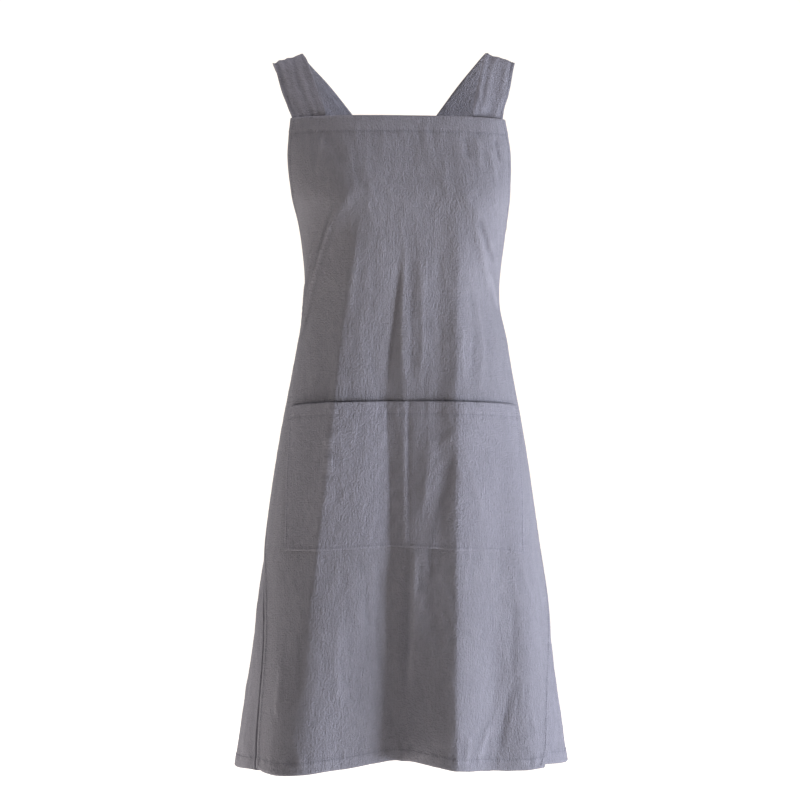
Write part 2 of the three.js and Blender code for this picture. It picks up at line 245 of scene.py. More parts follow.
def face(turn, down):
    """A point of the apron's outer face. turn: degrees round from the front. down: share of the length."""
    x, y, out_x, out_y, _ = oval(turn, down)
    out = fold_lift(turn, down, x)
    sag = SIDE_DROP * ease(0.35, 0.85, down) * np.sin(np.radians(turn)) ** 2
    drop = down * APRON_LENGTH + sag + FOLD_DROP * out * ease(0.5, 1, down)
    aside = -LEAN * section("lean", down)
    forward = CORNER_PULL * ease(30, 64, np.abs(turn)) * (1 - ease(0.17, 0.27, down))
    tuck = RIGHT_TUCK * ease(25, 75, turn) * (1 - ease(110, 150, turn))
    tuck = tuck * ease(0.17, 0.23, down) * (1 - ease(0.34, 0.42, down))
    return np.stack([x + out * out_x + aside - tuck, y + out * out_y - forward, -drop], axis=-1)


def unit(vectors):
    return vectors / np.linalg.norm(vectors, axis=-1, keepdims=True)


def place(turn, down, offset):
    """The same point moved off the face along its outward normal."""
    around = face(turn + 0.5, down) - face(turn - 0.5, down)
    fall = face(turn, down + 0.002) - face(turn, down - 0.002)
    return face(turn, down) + unit(np.cross(fall, around)) * np.asarray(offset)[..., None]


# %% [markdown]
# Measuring along the cloth
#
# Cloth keeps its length, so a pocket 358 mm wide stays 358 mm of cloth wherever it lies. To place things by
# the length of cloth, the distance round each oval is added up once into a table, and then looked up.

# %% Cloth length round each section
TURN_STEP = 0.5
LENGTH_STEP = 2.0
DOWN_STEPS = np.linspace(0.09, 1.03, 189)
TURN_STEPS = np.arange(0, 180 + TURN_STEP, TURN_STEP)
LENGTH_STEPS = np.arange(0, 700, LENGTH_STEP)
half_turns = (TURN_STEPS[1:] + TURN_STEPS[:-1]) / 2
speeds = oval(half_turns[None, :], DOWN_STEPS[:, None])[4] * math.radians(TURN_STEP)
ARC = np.concatenate([np.zeros((len(DOWN_STEPS), 1)), np.cumsum(speeds, axis=1)], axis=1)
TURN_OF = np.array([np.interp(LENGTH_STEPS, row, TURN_STEPS) for row in ARC])


def lookup(table, row, column):
    """A value between the entries of a table, by fractional row and column."""
    row = np.clip(row, 0, table.shape[0] - 1.001)
    column = np.clip(column, 0, table.shape[1] - 1.001)
    r, c = row.astype(int), column.astype(int)
    u, v = row - r, column - c
    if table.ndim == 3:
        u, v = u[..., None], v[..., None]
    top = mix(table[r, c], table[r, c + 1], v)
    return mix(top, mix(table[r + 1, c], table[r + 1, c + 1], v), u)


def down_index(down):
    return (down - DOWN_STEPS[0]) / (DOWN_STEPS[1] - DOWN_STEPS[0])


def cloth_to(turn, down):
    """Millimetres of cloth from the middle of the front to a turn."""
    turn, down = np.broadcast_arrays(np.asarray(turn, float), np.asarray(down, float))
    return lookup(ARC, down_index(down), turn / TURN_STEP)


def turn_at(length, down):
    """The turn that a length of cloth reaches."""
    length, down = np.broadcast_arrays(np.asarray(length, float), np.asarray(down, float))
    return lookup(TURN_OF, down_index(down), length / LENGTH_STEP)


# Pulls on the front's left (-1) and right (1) edges: degrees forward, the shares of the length between which
# the pull grows, how much of it is lost again, and between which shares.
SEAM_PULLS = {
    -1: [(13.5, 0.60, 0.75, 2 / 3, 0.76, 1)],
    1: [
        (RIGHT_VENT_TURN, VENT_DROP / APRON_LENGTH, 1, 0, 0, 1),
        (2.5, 0.78, 0.88, 0.4, 0.9, 1),
        (8.5, 0.13, 0.20, 1, 0.24, 0.32),
        (3.0, 0.965, 1, 0, 0, 1),
    ],
}


def seam_turn(side, down):
    """Where the front panel ends on one side, in degrees."""
    pull = 0
    for degrees, start, full, lost, ebb, gone in SEAM_PULLS[side]:
        pull = pull + degrees * ease(start, full, down) * (1 - lost * ease(ebb, gone, down))
    return section("seam", down) - pull


print("cloth round half the waist, mm:", round(float(cloth_to(180, 0.35)), 1))

# %% [markdown]
# Creases of washed linen
#
# Linen that dries on a line keeps a web of creases: soft waves a hand's width long, sharp little ridges, and
# a fine crinkle between them. They run mostly down the cloth, because that is how it hangs. Blender's noise
# textures could bump the shading, but a crease that shows should be real shape. So the creases are numbers
# per point: a smooth random field, and ridges where that field crosses zero.

# %% Random fields that come out the same on every run
DIRECTIONS = 4096
WAVE_MM = 36
RIDGE_MM = 26
VALLEY_MM = 19
CRINKLE_MM = 9


def field(x, y, seed):
    """Smooth random numbers from about -1 to 1, with one bump per unit of x and y."""
    angles = np.random.default_rng(seed).uniform(0, 2 * math.pi, DIRECTIONS)
    ix, iy = np.floor(x).astype(int), np.floor(y).astype(int)
    fx, fy = x - ix, y - iy
    sx = fx**3 * (fx * (fx * 6 - 15) + 10)
    sy = fy**3 * (fy * (fy * 6 - 15) + 10)
    corner = []
    for dx, dy in ((0, 0), (1, 0), (0, 1), (1, 1)):
        key = ((ix + dx) * 73856093 ^ (iy + dy) * 19349663) % DIRECTIONS
        corner.append(np.cos(angles[key]) * (fx - dx) + np.sin(angles[key]) * (fy - dy))
    return 1.5 * mix(mix(corner[0], corner[1], sx), mix(corner[2], corner[3], sx), sy)


def ridges(x, y, seed, thin=1.8):
    """Thin ridges, from 0 to 1, along the lines where a random field is zero."""
    return np.clip(1 - thin * np.abs(field(x, y, seed)), 0, 1) ** 1.5


def crinkle(x, down, seed, soft=1.0, sharp=1.0, tall=2.6, slant=0.0):
    """The web of creases in millimetres of height. x and down are millimetres along the cloth."""
    u = x + slant * down
    v = down / tall
    u = u + 9 * field(x / 60, down / 90, seed + 1)
    v = v + 7 * field(x / 70, down / 70, seed + 2)
    patch = 0.35 + 0.65 * ease(-0.35, 0.45, field(x / 75, down / 110, seed + 3))
    height = soft * 0.9 * field(u / WAVE_MM, v / WAVE_MM, seed + 4)
    height = height + sharp * patch * 0.55 * ridges(u / RIDGE_MM, v / RIDGE_MM, seed + 5)
    height = height - sharp * patch * 0.35 * ridges(u / VALLEY_MM, v / VALLEY_MM, seed + 6)
    return height + sharp * 0.42 * field(u / CRINKLE_MM, v / CRINKLE_MM, seed + 7)


# %% Creases that are drawn one by one
def crease(x, down, path, height, wide, lean=1.0):
    """One crease along a path of (across, down) points. lean over 1 makes its right side the softer one."""
    total = np.zeros(np.broadcast(x, down).shape)
    lengths = [math.dist(a, b) for a, b in zip(path, path[1:])]
    whole = sum(lengths)
    gone = 0
    for (x0, d0), (x1, d1), length in zip(path, path[1:], lengths):
        ux, ud = (x1 - x0) / length, (d1 - d0) / length
        t = np.clip((x - x0) * ux + (down - d0) * ud, 0, length)
        off_x, off_d = x - x0 - ux * t, down - d0 - ud * t
        side = off_x * ud - off_d * ux
        spread = np.where(side > 0, wide * lean, wide)
        near = np.exp(-(np.hypot(off_x, off_d) / spread) ** 1.6)
        run = (gone + t) / whole
        taper = ease(0, 0.25, run) * (1 - ease(0.7, 1, run))
        total = np.maximum(total, near * taper)
        gone += length
    return height * total


# Paths in millimetres across the cloth from the middle of the front, and down from the shoulders.
FRONT_CREASES = [
    ([(-91, 222), (-123, 290), (-169, 386), (-192, 424)], 5.2, 3.8, 0.6),
    ([(-99, 220), (-132, 288), (-178, 384), (-200, 424)], -3.4, 4.5),
    ([(-133, 262), (-160, 308), (-193, 362), (-206, 403)], 3.4, 3.6, 0.6),
    ([(94, 238), (111, 284), (131, 308)], -3.0, 5),
    ([(84, 244), (106, 300), (128, 355)], 2.0, 6, 1.4),
    ([(114, 315), (157, 371)], 2.2, 5, 1.4),
    ([(-4, 262), (-7, 320), (-9, 400), (-7, 490)], 1.5, 4.5),
    ([(-8, 300), (-14, 357), (-26, 440), (-30, 486)], -1.5, 4, 0.8),
    ([(4, 300), (5, 360), (4, 420), (6, 480)], -0.8, 4.5),
    ([(16, 280), (19, 350), (20, 420), (17, 488)], 1.6, 6, 1.2),
    ([(-44, 372), (-49, 430), (-46, 484)], -0.5, 7),
    ([(86, 330), (92, 400), (88, 480)], -1.2, 5),
    ([(100, 350), (108, 420), (102, 490)], 1.2, 6),
    ([(76, 380), (72, 430), (80, 486)], 1.0, 4),
    ([(-70, 260), (-74, 330), (-84, 400)], 1.2, 5),
    ([(-50, 270), (-48, 350), (-54, 430)], -0.5, 6),
    ([(-108, 130), (-114, 160), (-120, 190)], 1.4, 4.5, 1.6),
    ([(-101, 124), (-90, 150), (-80, 176)], -0.9, 6.5),
    ([(91, 124), (91, 166)], -1.6, 5),
    ([(107, 126), (106, 180)], 1.4, 4.5, 1.4),
    ([(136, 128), (141, 166)], -2.0, 4),
    ([(124, 142), (130, 198)], 1.6, 5),
    ([(60, 150), (54, 200), (60, 236)], 0.9, 6),
    ([(-60, 140), (-64, 180), (-58, 214)], -0.8, 6),
    ([(8, 690), (7, 760), (6, 830), (2, 920)], 3.6, 6.2, 1.8),
    ([(18, 712), (14, 770)], -1.2, 4),
    ([(38, 640), (30, 700), (27, 760), (27, 850)], -2.6, 8.5, 1.2),
    ([(116, 938), (104, 964), (92, 992)], 2.2, 4.5, 1.6),
    ([(150, 880), (136, 940), (128, 992)], -1.8, 6),
    ([(82, 950), (75, 995)], 1.6, 4, 1.2),
    ([(158, 760), (150, 850), (160, 940)], -1.2, 7),
    ([(-170, 840), (-174, 925)], 1.6, 4, 1.4),
    ([(-144, 800), (-142, 900)], -1.0, 5),
    ([(-62, 740), (-56, 800), (-60, 870)], -1.0, 6),
    ([(-92, 780), (-98, 850), (-94, 930)], 1.2, 7),
    ([(-38, 720), (-44, 800), (-40, 900)], -1.0, 7),
    ([(30, 730), (26, 800), (30, 880)], 0.8, 6),
]

POCKET_CREASES = [
    ([(-88, 532), (-106, 552), (-114, 558)], 1.4, 4.5, 1.6),
    ([(-33, 536), (-40, 566)], 1.0, 5, 1.4),
    ([(-106, 570), (-106, 600)], 1.4, 4, 1.6),
    ([(-92, 612), (-100, 640)], -0.9, 5),
    ([(66, 536), (34, 572), (26, 590)], 1.0, 5, 1.4),
    ([(58, 566), (24, 606), (14, 634)], 0.9, 5, 1.4),
    ([(46, 600), (16, 636)], 0.8, 5, 1.2),
    ([(62, 545), (53, 610), (36, 664), (31, 700), (29, 760)], -3.0, 9),
    ([(30, 540), (26, 600), (22, 660)], 1.2, 8),
    ([(80, 590), (98, 640), (92, 668)], 0.9, 7, 1.2),
    ([(112, 560), (128, 610)], 0.7, 7),
    ([(-4, 520), (-4, 600), (-4, 690)], 0.6, 3.5, 0.8),
]


def drawn(x, down, table):
    """All the creases of a table together."""
    return sum(crease(x, down, *row) for row in table)


print("drawn creases:", len(FRONT_CREASES) + len(POCKET_CREASES))

# %% [markdown]
# Hems
#
# Every edge of the cloth is turned under twice and stitched. From outside, a hem shows as a band that is a
# little fuller than the cloth beside it, ended by a furrow where the thread pulls the layers together, with
# small puckers along it. From inside, the turned layer is a step. Both are modelled: the relief outside, and
# a thicker wall inside.

# %% Hem relief
def hem_relief(edge, width, run, seed, pucker=0.35):
    """Height in millimetres near a hem. edge: distance to the edge. run: distance along it."""
    band = 0.45 * (1 - ease(width - 2, width + 3, edge))
    furrow = -0.3 * bump(edge - width, 1.6)
    gathers = field(run / 8.5, edge / 40, seed) * bump(edge - width, 9)
    return band + furrow + pucker * 2.2 * gathers


def hem_wall(edge, width, cloth, folded):
    """Thickness of the wall: folded inside the hem, single beyond it."""
    return mix(folded, cloth, ease(width - 0.5, width + 2.0, edge))


# %% [markdown]
# From points to cloth
#
# Each panel becomes a closed wall: the grid of outer points, the same grid moved in by the cloth's thickness,
# and a rounded rim between them. A Solidify modifier would do nearly the same, but here the thickness changes
# from point to point, at the hems. The cloth's own coordinates become the UV map, in metres, so the weave in
# the material follows the threads.

# %% Cloth walls
def grid_normals(points):
    """Outward normals of a grid whose rows run down and whose columns run left to right from outside."""
    return unit(np.cross(np.gradient(points, axis=0), np.gradient(points, axis=1)))


def blurred(values, rounds):
    """Each value averaged with its neighbours."""
    for _ in range(rounds):
        padded = np.pad(values, 1, mode="edge")
        sides = padded[:-2, 1:-1] + padded[2:, 1:-1] + padded[1:-1, :-2] + padded[1:-1, 2:]
        values = (values * 2 + sides) / 6
    return values


def rim_order(rows, columns):
    """Grid indices of the border, round once, as seen from outside."""
    index = np.arange(rows * columns).reshape(rows, columns)
    return np.concatenate([index[0, :-1], index[:-1, -1], index[-1, :0:-1], index[:0:-1, 0]])


def into_scene(name, data):
    """A new object, linked to the scene."""
    made = bpy.data.objects.new(name, data)
    bpy.context.scene.collection.objects.link(made)
    return made


def build_mesh(name, points, faces, uv, wear_and_crease_shade):
    """A smooth mesh object with its cloth coordinates, and per point its crease wear and painted crease
    shade.
    """
    mesh = bpy.data.meshes.new(name)
    mesh.from_pydata((points * MM).tolist(), [], faces.tolist())
    mesh.update()
    mesh.polygons.foreach_set("use_smooth", [True] * len(mesh.polygons))
    corners = np.zeros(len(mesh.loops), dtype=int)
    mesh.loops.foreach_get("vertex_index", corners)
    layer = mesh.uv_layers.new(name="cloth")
    layer.uv.foreach_set("vector", (uv[corners] * MM).ravel())
    values = mesh.attributes.new("wear_and_crease_shade", "FLOAT", "POINT")
    values.data.foreach_set("value", wear_and_crease_shade.astype(np.float32))
    return into_scene(name, mesh)


def cloth_wall(name, outer, wall, uv, height):
    """A closed wall of cloth from a grid of outer points. The crease height sets the wear and the painted
    shade.
    """
    rows, columns = outer.shape[:2]
    inner = outer - grid_normals(outer) * (wall * np.ones((rows, columns)))[..., None]
    index = np.arange(rows * columns).reshape(rows, columns)
    a, b, c, d = index[:-1, :-1], index[1:, :-1], index[1:, 1:], index[:-1, 1:]
    front = np.stack([a, b, c, d], axis=-1).reshape(-1, 4)
    back = np.stack([a, d, c, b], axis=-1).reshape(-1, 4) + rows * columns
    rim = rim_order(rows, columns)
    flat_out, flat_in = outer.reshape(-1, 3), inner.reshape(-1, 3)
    middle = (flat_out[rim] + flat_in[rim]) / 2
    ahead = np.roll(flat_out[rim], -1, axis=0) - np.roll(flat_out[rim], 1, axis=0)
    outward = unit(np.cross(ahead, flat_in[rim] - flat_out[rim]))
    thick = np.linalg.norm(flat_out[rim] - flat_in[rim], axis=1, keepdims=True)
    middle = middle + outward * thick * 0.45
    ring = np.arange(len(rim)) + 2 * rows * columns
    after, ring_after = np.roll(rim, -1), np.roll(ring, -1)
    over = np.stack([rim, after, ring_after, ring], axis=-1)
    under = np.stack([ring, ring_after, after + rows * columns, rim + rows * columns], axis=-1)
    # Crease tops come out lighter, as wear, and crease hollows darker, as painted shade in the creases.
    relief = height - blurred(height, 10)
    relief = np.clip(0.5 + relief * 0.9, 0, 1).ravel()
    flat_uv = uv.reshape(-1, 2)
    thing = build_mesh(
        name,
        np.concatenate([flat_out, flat_in, middle]),
        np.concatenate([front, back, over, under]),
        np.concatenate([flat_uv, flat_uv, flat_uv[rim]]),
        np.concatenate([relief, relief, relief[rim]]),
    )
    print(name, "faces:", len(thing.data.polygons))
    return thing


# %% [markdown]
# The material: washed linen and cotton
#
# Linen yarn is spun unevenly, so the cloth has slubs: short thick places in a thread, lighter or darker than
# the rest. The dye takes a little unevenly too, and washing wears the tops of creases lighter; the hollows of
# the creases are painted darker, as painted shade. The fibre is dull: its roughness is near 0.9, with a faint
# sheen at grazing angles from loose fibre ends. The threads are about 0.6 mm apart, less than half a pixel of
# the render, so the weave is drawn nearly five times as coarse.

# %% Colours and node helper
def linear(code):
    """An sRGB hex colour as linear numbers."""
    parts = [int(code[i : i + 2], 16) / 255 for i in (1, 3, 5)]
    return tuple(p / 12.92 if p <= 0.04045 else ((p + 0.055) / 1.055) ** 2.4 for p in parts)


def add(tree, kind, settings=None, **inputs):
    """Adds one node. settings are its properties; inputs are values, or sockets to link from."""
    made = tree.nodes.new(kind)
    for key, value in (settings or {}).items():
        setattr(made, key, value)
    for key, value in inputs.items():
        found = [s for s in made.inputs if s.name.replace(" ", "_") == key.rstrip("_") and s.enabled]
        socket = found[key.count("_", len(key.rstrip("_")))]
        if isinstance(value, bpy.types.NodeSocket):
            tree.links.new(value, socket)
        else:
            socket.default_value = value
    return made


def ramp(tree, value, low, high, dark, light):
    """A value turned into a colour between two."""
    made = add(tree, "ShaderNodeMapRange", Value=value, From_Min=low, From_Max=high)
    blend = add(tree, "ShaderNodeMix", {"data_type": "RGBA"}, Factor=made.outputs[0])
    colours = [s for s in blend.inputs if s.type == "RGBA"]
    colours[0].default_value = (*linear(dark), 1)
    colours[1].default_value = (*linear(light), 1)
    return next(s for s in blend.outputs if s.type == "RGBA")


# %% The linen
# Drawn coarser than the real threads. A wave texture at this scale has one band per unit.
WARP_MM = 2.8
SLUB_MM = 3.0
BAND_SCALE = math.tau / 20


def washed_linen(name, dark, light, seed):
    """A washed linen and cotton weave between two colours."""
    made = bpy.data.materials.new(name)
    made.use_nodes = True
    tree = made.node_tree
    shader = tree.nodes["Principled BSDF"]
    where = add(tree, "ShaderNodeUVMap", {"uv_map": "cloth"}).outputs[0]

    def stretched(width, length, detail, shift):
        """Noise whose spots are width across and length down the cloth, in millimetres."""
        place_at = add(tree, "ShaderNodeMapping", Vector=where)
        place_at.inputs["Scale"].default_value = (1 / (width * MM), 1 / (length * MM), 1)
        place_at.inputs["Location"].default_value = (seed + shift, shift, 0)
        spots = add(
            tree, "ShaderNodeTexNoise", {"noise_dimensions": "2D"},
            Vector=place_at.outputs[0], Scale=1.0, Detail=detail, Roughness=0.6,
        )
        return spots.outputs[0]

    def combine(a, b, operation, amount=None):
        values = add(tree, "ShaderNodeMath", {"operation": operation})
        for socket, value in zip(values.inputs, (a, b, amount)):
            if isinstance(value, bpy.types.NodeSocket):
                tree.links.new(value, socket)
            elif value is not None:
                socket.default_value = value
        return values.outputs[0]

    def summed(*parts):
        """Sockets times their weights, added up."""
        total = 0.0
        for socket, weight in parts:
            total = combine(socket, weight, "MULTIPLY_ADD", total)
        return total

    warp = stretched(SLUB_MM * 0.8, 14, 2, 1.3)
    weft = stretched(10, SLUB_MM * 0.7, 2, 5.1)
    slubs = stretched(SLUB_MM, 9, 1, 9.7)
    grain = stretched(2.4, 3.0, 3, 14.2)
    clouds = stretched(60, 90, 3, 21.9)
    # Lighter crease tops are wear; darker crease hollows are painted shade.
    wear_and_crease_shade = add(tree, "ShaderNodeAttribute", {"attribute_name": "wear_and_crease_shade"}).outputs["Fac"]

    tone = summed((warp, 0.16), (weft, 0.10), (slubs, 0.14), (grain, 0.16), (clouds, 0.16), (wear_and_crease_shade, 0.28))
    colour = ramp(tree, tone, 0.22, 0.78, dark, light)
    tree.links.new(colour, shader.inputs["Base Color"])

    threads = []
    for axis in ("X", "Y"):
        turned = add(tree, "ShaderNodeMapping", Vector=where)
        turned.inputs["Scale"].default_value = (1 / (WARP_MM * MM),) * 3
        bands = add(
            tree, "ShaderNodeTexWave", {"bands_direction": axis, "wave_profile": "SIN"},
            Vector=turned.outputs[0], Scale=BAND_SCALE, Distortion=1.2, Detail=2.0,
        )
        threads.append(bands.outputs["Fac"])
    weave = combine(threads[0], threads[1], "MAXIMUM")
    relief = summed((weave, 0.14), (warp, 0.8), (weft, 0.35), (slubs, 0.5), (grain, 1.6))
    bump = add(tree, "ShaderNodeBump", Height=relief, Strength=0.75, Distance=0.0015)
    tree.links.new(bump.outputs[0], shader.inputs["Normal"])
    shader.inputs["Roughness"].default_value = 0.92
    shader.inputs["Specular IOR Level"].default_value = 0.25
    shader.inputs["Sheen Weight"].default_value = 0.22
    shader.inputs["Sheen Roughness"].default_value = 0.55
    shader.inputs["Sheen Tint"].default_value = (*linear("#d4d3dc"), 1)
    return made


linen_front = washed_linen("washed_linen_front", "#706e75", "#96949b", 0)
linen_panel = washed_linen("washed_linen_panel", "#6f6d74", "#94929a", 37)
linen_pocket = washed_linen("washed_linen_pocket", "#716f76", "#97959d", 71)
linen_strap = washed_linen("washed_linen_strap", "#6e6c73", "#939199", 113)

# %% Sewing thread
thread = bpy.data.materials.new("cotton_thread")
thread.use_nodes = True
thread_shader = thread.node_tree.nodes["Principled BSDF"]
twist = add(thread.node_tree, "ShaderNodeTexNoise", Scale=900.0, Detail=2.0)
thread_colour = ramp(thread.node_tree, twist.outputs[0], 0.3, 0.7, "#66636d", "#85838f")
thread.node_tree.links.new(thread_colour, thread_shader.inputs["Base Color"])
thread_shader.inputs["Roughness"].default_value = 0.75
print("materials:", [m.name for m in bpy.data.materials])

# %% [markdown]
# Stitches
#
# A machine seam is a row of short raised dashes about 3 mm long. At this size a stitch is two pixels, so the
# thread is drawn a little thicker than the real 0.3 mm. Each stitch is a small tapered rod that dives into
# the cloth at both ends. They could be a bump pattern in the material, but real rods catch the light from
# every side, and they follow any line on the cloth.

# %% Rows of stitches
STITCH_PITCH = 3.4
STITCH_LENGTH = 2.5
STITCH_RADIUS = 0.36
SINK = np.array([-0.25, 0.22, 0.32, 0.22, -0.25])
TAPER = np.array([0.45, 0.9, 1.0, 0.9, 0.45])
RINGS, SIDES = 5, 4


def stitched_line(points, normals):
    """Corner points of the stitches along a line: one block of rings for each stitch."""
    steps = np.linalg.norm(np.diff(points, axis=0), axis=1)
    gone = np.concatenate([[0], np.cumsum(steps)])
    count = int(gone[-1] // STITCH_PITCH)
    if count < 1:
        return np.zeros((0, RINGS * SIDES, 3))
    starts = (gone[-1] - count * STITCH_PITCH) / 2 + np.arange(count) * STITCH_PITCH
    share = np.linspace(0, 1, RINGS)
    at = starts[:, None] + (STITCH_PITCH - STITCH_LENGTH) / 2 + share * STITCH_LENGTH
    middle = np.stack([np.interp(at, gone, points[:, k]) for k in range(3)], axis=-1)
    up = unit(np.stack([np.interp(at, gone, normals[:, k]) for k in range(3)], axis=-1))
    ahead = unit(np.gradient(middle, axis=1))
    across = unit(np.cross(ahead, up))
    middle = middle + up * SINK[None, :, None]
    corners = []
    for angle in np.radians([45, 135, 225, 315]):
        way = across * math.cos(angle) + up * math.sin(angle)
        corners.append(middle + way * (STITCH_RADIUS * TAPER)[None, :, None])
    return np.stack(corners, axis=2).reshape(count, RINGS * SIDES, 3)


def stitches(name, lines):
    """One mesh of all the stitches on a list of (points, normals) lines."""
    blocks = np.concatenate([stitched_line(*line) for line in lines])
    quads = []
    for ring in range(0, (RINGS - 1) * SIDES, SIDES):
        for k in range(SIDES):
            m = (k + 1) % SIDES
            quads.append((ring + k, ring + m, ring + SIDES + m, ring + SIDES + k))
    quads += [(3, 2, 1, 0), (16, 17, 18, 19)]
    count = len(blocks)
    faces = (np.array(quads)[None] + RINGS * SIDES * np.arange(count)[:, None, None]).reshape(-1, 4)
    points = blocks.reshape(-1, 3)
    thing = build_mesh(name, points, faces, np.zeros((len(points), 2)), np.full(len(points), 0.5))
    thing.data.materials.append(thread)
    print(name, "stitches:", count)
    return thing


def on_grid(points, u, v):
    """Points and normals on a grid at shares u across and v down."""
    u, v = np.broadcast_arrays(np.asarray(u, float), np.asarray(v, float))
    row, column = v * (points.shape[0] - 1), u * (points.shape[1] - 1)
    return lookup(points, row, column), unit(lookup(grid_normals(points), row, column))


# %% [markdown]
# The front panel
#
# Bib and skirt are one piece of cloth. Its top edge is a wide hem that the straps are sewn behind. Its sides
# are the armholes, then seams over the back panels, and below the hips open vents. The grid is 2.4 by 3.8 mm,
# fine enough for a 6 mm crease. Under the pocket the cloth lies flat, so nothing pokes through.

# %% Front panel form
FRONT_ROWS, FRONT_COLUMNS = 240, 193
CLOTH = 1.0
FOLDED = 2.0
SIDE_HEM = 8


def half_cloth(side, down):
    return cloth_to(seam_turn(side, down), down)


def vent_share(drop):
    """0 above the vents and 1 below their tops."""
    return ease(VENT_DROP - 30, VENT_DROP + 50, drop)


def pocket_half(down):
    """Half the pocket's width: the folds draw it in a little towards its bottom."""
    drawn_in = 1 - POCKET_DRAW * ease(POCKET_DROP / APRON_LENGTH, POCKET_BOTTOM / APRON_LENGTH, down)
    return POCKET_WIDTH / 2 * drawn_in


def inside_pocket(x, drop):
    """0 outside the pocket, rising to 1 at 15 mm inside its edges and beside its middle seam."""
    half = pocket_half(drop / APRON_LENGTH)
    edge = np.minimum(half - np.abs(x), np.minimum(drop - POCKET_DROP, POCKET_BOTTOM - drop))
    return ease(0, 15, edge)


def front_detail(x, drop, left_edge, right_edge):
    """Crease height on the front panel where nothing covers it."""
    calm = ease(0, 24, drop - BIB_DROP - 8) * (1 - 0.65 * ease(-30, 0, drop - APRON_LENGTH + 6))
    lap = ease(2, 40, np.minimum(left_edge, right_edge))
    height = crinkle(x, drop, 11, soft=0.85, sharp=0.8, tall=3.2) * mix(0.35, 1, calm) * mix(0.3, 1, lap)
    return height + drawn(x, drop, FRONT_CREASES)


# Extra columns beside each side edge, in millimetres, so that the edge can curl.
EDGE_STEPS = np.array([0, 0.8, 1.6, 2.4, 3.4, 4.6])
HALF_CLOTH = 240
edges = 1 - EDGE_STEPS / HALF_CLOTH
INSIDE = 0.976
FRONT_SHARES = np.concatenate([-edges, np.linspace(-INSIDE, INSIDE, FRONT_COLUMNS), edges[::-1]])

# The hem isn't quite level: millimetres across at the hem, and how much shorter the panel is there.
HEM_REACH = 218
HEM_TRIM = [
    (-230, 13), (-200, 10.5), (-165, 9), (-120, 7), (-90, 3.5), (-55, 2), (-22, -2.5), (-8, -3), (4, 0),
    (28, 4), (44, 5.5), (72, 5), (90, 2), (105, 0), (125, -3.5), (160, -2), (215, 4),
]

s = FRONT_SHARES[None, :]
v = np.linspace(0, 1, FRONT_ROWS)[:, None]
hem_line = APRON_LENGTH - np.interp(s * HEM_REACH, *zip(*HEM_TRIM))
drop = mix(BIB_DROP, hem_line, v)
down = drop / APRON_LENGTH
left, right = half_cloth(-1, down), half_cloth(1, down)
x = np.where(s < 0, s * left, s * right)
turn = np.sign(x) * turn_at(np.abs(x), down)
form = face(turn, down)
left_edge, right_edge = x + left, right - x

detail = front_detail(x, drop, left_edge, right_edge)
covered = inside_pocket(x, drop)
detail = detail * (1 - covered) - 0.8 * covered
detail += hem_relief(drop - BIB_DROP, BIB_HEM, x, 61, 0.25)
detail += hem_relief(hem_line - drop, HEM_TURN_UP, x, 62, 0.42)
for edge, seed in ((left_edge, 63), (right_edge, 64)):
    detail += 0.7 * hem_relief(edge, SIDE_HEM, drop, seed, 0.25)
curl = 1.2 * bump(left_edge, 9) - 1.8 * bump(left_edge, 1.8) + 1.6 * bump(right_edge, 9)
detail += vent_share(drop) * curl
front_points = form + grid_normals(form) * detail[..., None]
front_points[..., 2] += 0.7 * field(x / 26, 0 * x, 65) * ease(0.97, 1, down)

wall = np.maximum(
    hem_wall(drop - BIB_DROP, BIB_HEM, CLOTH, FOLDED),
    hem_wall(hem_line - drop, HEM_TURN_UP, CLOTH, FOLDED),
)
front_cloth = cloth_wall("front_cloth", front_points, wall, np.stack([x, -drop], -1), detail)
front_cloth.data.materials.append(linen_front)

# %% Front panel stitches
def front_u(x_mm, down_share):
    """Share across the front panel's grid for a place in millimetres."""
    left_half, right_half = half_cloth(-1, down_share), half_cloth(1, down_share)
    share = np.where(x_mm < 0, x_mm / left_half, x_mm / right_half)
    return np.interp(share, FRONT_SHARES, np.linspace(0, 1, len(FRONT_SHARES)))


def front_v(drop_mm):
    return (drop_mm - BIB_DROP) / (APRON_LENGTH - BIB_DROP)


across = np.linspace(0.02, 0.98, 400)
downward = np.linspace(BIB_DROP + 4, APRON_LENGTH - 4, 700)
seam_lines = [
    on_grid(front_points, across, front_v(BIB_DROP + BIB_HEM)),
    on_grid(front_points, across, front_v(APRON_LENGTH - HEM_TURN_UP)),
]
for side in (-1, 1):
    edge = side * (half_cloth(side, downward / APRON_LENGTH) - SIDE_HEM + 0.5)
    seam_lines.append(on_grid(front_points, front_u(edge, downward / APRON_LENGTH), front_v(downward)))
front_stitches = stitches("front_stitches", seam_lines)

# %% [markdown]
# The back panels
#
# Each back panel starts under the front panel's edge, wraps round the side and stops short of the middle of
# the back, so the apron stays open there. Its top edge falls from the armhole towards the back, where the
# far strap is sewn in. At the vents it runs further in under the front panel.

# %% Back panels
PANEL_ROWS = 205
LAP_COLUMNS, FINE_COLUMNS, WIDE_COLUMNS = 14, 13, 101
FINE_STEP = 0.9
FREE_HEM = 12
NARROW_PART = 45


def lap_at(down_share):
    return mix(SEAM_LAP, VENT_LAP, ease(VENT_DROP / APRON_LENGTH - 0.08, 1, down_share))


